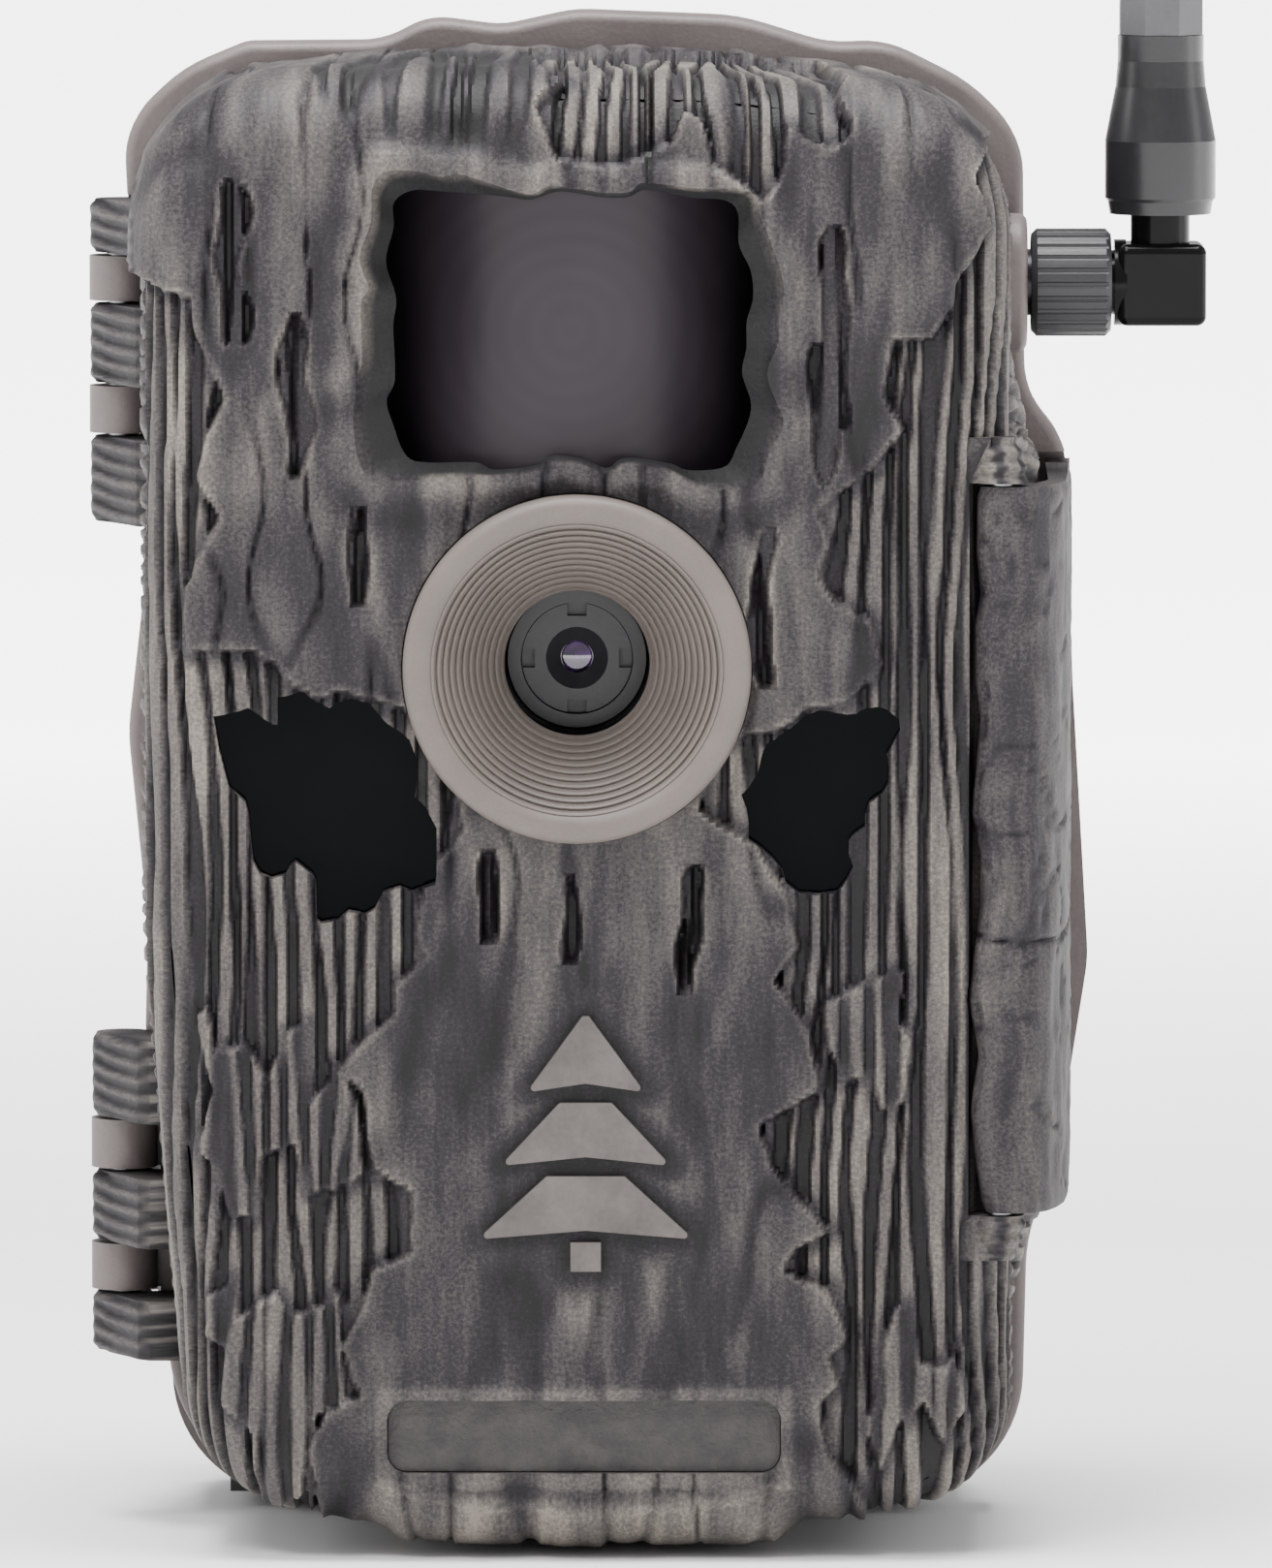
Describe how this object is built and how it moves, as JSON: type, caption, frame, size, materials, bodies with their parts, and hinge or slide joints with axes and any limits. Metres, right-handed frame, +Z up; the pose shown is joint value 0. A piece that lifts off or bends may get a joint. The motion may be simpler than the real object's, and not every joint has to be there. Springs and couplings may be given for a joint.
{
  "type": "trail camera",
  "caption": "Bark-textured trail camera with a hinged front half, side latch, funnel lens ring, motion-sensor window, infrared windows, elbow antenna and strap bracket.",
  "frame": {"origin": "middle of the front foot pad's underside, under the rear housing's rim, on the plane the camera stands on", "axes": "+Z up along the antenna, -Y the way the lens looks, +X towards the latch and antenna side"},
  "size_m": [0.105, 0.0756, 0.282],
  "materials": {
    "bark": "painted bark relief, satin",
    "taupe": "moulded taupe plastic, fine grain",
    "lens_ring": "moulded taupe plastic, satin",
    "emblem": "satin",
    "nameplate": "fine stipple",
    "black_plastic": "satin black",
    "gloss_black": "gloss black",
    "ir_window": "gloss, passes infrared",
    "pir_lens": "frosted dark Fresnel sheet",
    "optics": "coated",
    "silicone": "soft, matt",
    "board": "solder mask",
    "chips": "satin",
    "display": "polarised",
    "lamp": "smoked lamp body",
    "steel": "zinc plated",
    "tin": "tinned",
    "brass": "machined",
    "gold": "gold plated",
    "cell": "shrink-wrapped",
    "card": "satin",
    "button": "satin"
  },
  "bodies": {
    "rear": {"rear_housing": "taupe", "latch_keeper": "taupe", "rear_panel": "black_plastic", "hinge_pins": "steel", "rear_panel_screws": "steel", "tree_bracket": "taupe", "tripod_insert": "brass", "bracket_screws": "steel"},
    "front": {"front_cover": "bark", "emblem": "emblem", "nameplate": "nameplate", "lens_ring": "lens_ring", "lens_barrel": "black_plastic", "lens_retainer": "black_plastic", "lens_glass": "optics", "lens_stack": "optics", "lens_seal": "silicone", "lens_holder": "black_plastic", "image_board": "board", "image_sensor": "chips", "pir_lens": "pir_lens", "pir_holder": "black_plastic", "pir_sensor": "tin", "ir_window_left": "ir_window", "ir_window_right": "ir_window", "ir_lamps": "lamp", "ir_lamp_boards": "board", "antenna_pad": "taupe", "sma_jack": "gold", "control_panel": "black_plastic", "door_seal": "silicone", "lcd_display": "display", "lcd_window": "optics", "main_board": "board", "tact_switches": "chips", "slide_switch_body": "tin", "modem_module": "tin", "board_components": "chips", "usb_socket": "tin", "card_socket": "tin", "panel_screws": "steel", "latch_pin": "steel"},
    "latch": {"latch_lever": "bark"},
    "coupling_nut": {"coupling_nut": "black_plastic"},
    "antenna": {"antenna_elbow": "gloss_black", "antenna_boot": "black_plastic", "antenna_blade": "black_plastic"},
    "battery_tray": {"battery_tray": "black_plastic", "battery_cells": "cell", "battery_contacts": "tin"},
    "power_switch": {"power_switch": "button"},
    "memory_card": {"memory_card": "card"},
    "ir_cut_filter": {"ir_cut_filter": "optics"},
    "button_ok": {"button_ok": "button"},
    "button_up": {"button_up": "button"},
    "button_down": {"button_down": "button"},
    "button_left": {"button_left": "button"},
    "button_right": {"button_right": "button"}
  },
  "joints": [
    {"name": "cover_hinge", "type": "hinge", "parent": "rear", "child": "front", "pos_m": [-0.043, -0.002, 0.07], "axis": [0, 0, -1], "range_deg": [0, 115]},
    {"name": "latch_swing", "type": "hinge", "parent": "front", "child": "latch", "pos_m": [0.0386, -0.0339, 0.066], "axis": [0, 0, -1], "range_deg": [0, 95]},
    {"name": "coupling_nut_spin", "type": "hinge", "parent": "front", "child": "coupling_nut", "pos_m": [0.045, -0.014, 0.117], "axis": [1, 0, 0], "continuous": true},
    {"name": "antenna_swivel", "type": "hinge", "parent": "front", "child": "antenna", "pos_m": [0.05, -0.014, 0.117], "axis": [1, 0, 0], "range_deg": [-90, 90]},
    {"name": "battery_tray_slide", "type": "slide", "parent": "rear", "child": "battery_tray", "axis": [0, 0, -1], "range_m": [0, 0.12]},
    {"name": "power_switch_slide", "type": "slide", "parent": "front", "child": "power_switch", "axis": [1, 0, 0], "range_m": [-0.0035, 0.0035]},
    {"name": "memory_card_slide", "type": "slide", "parent": "front", "child": "memory_card", "axis": [0, 1, 0], "range_m": [0, 0.003]},
    {"name": "ir_cut_filter_slide", "type": "slide", "parent": "front", "child": "ir_cut_filter", "axis": [1, 0, 0], "range_m": [0, 0.0062]},
    {"name": "button_ok_press", "type": "slide", "parent": "front", "child": "button_ok", "axis": [0, -1, 0], "range_m": [0, 0.0006], "stiffness_N_per_m": 400},
    {"name": "button_up_press", "type": "slide", "parent": "front", "child": "button_up", "axis": [0, -1, 0], "range_m": [0, 0.0006], "stiffness_N_per_m": 400},
    {"name": "button_down_press", "type": "slide", "parent": "front", "child": "button_down", "axis": [0, -1, 0], "range_m": [0, 0.0006], "stiffness_N_per_m": 400},
    {"name": "button_left_press", "type": "slide", "parent": "front", "child": "button_left", "axis": [0, -1, 0], "range_m": [0, 0.0006], "stiffness_N_per_m": 400},
    {"name": "button_right_press", "type": "slide", "parent": "front", "child": "button_right", "axis": [0, -1, 0], "range_m": [0, 0.0006], "stiffness_N_per_m": 400}
  ]
}
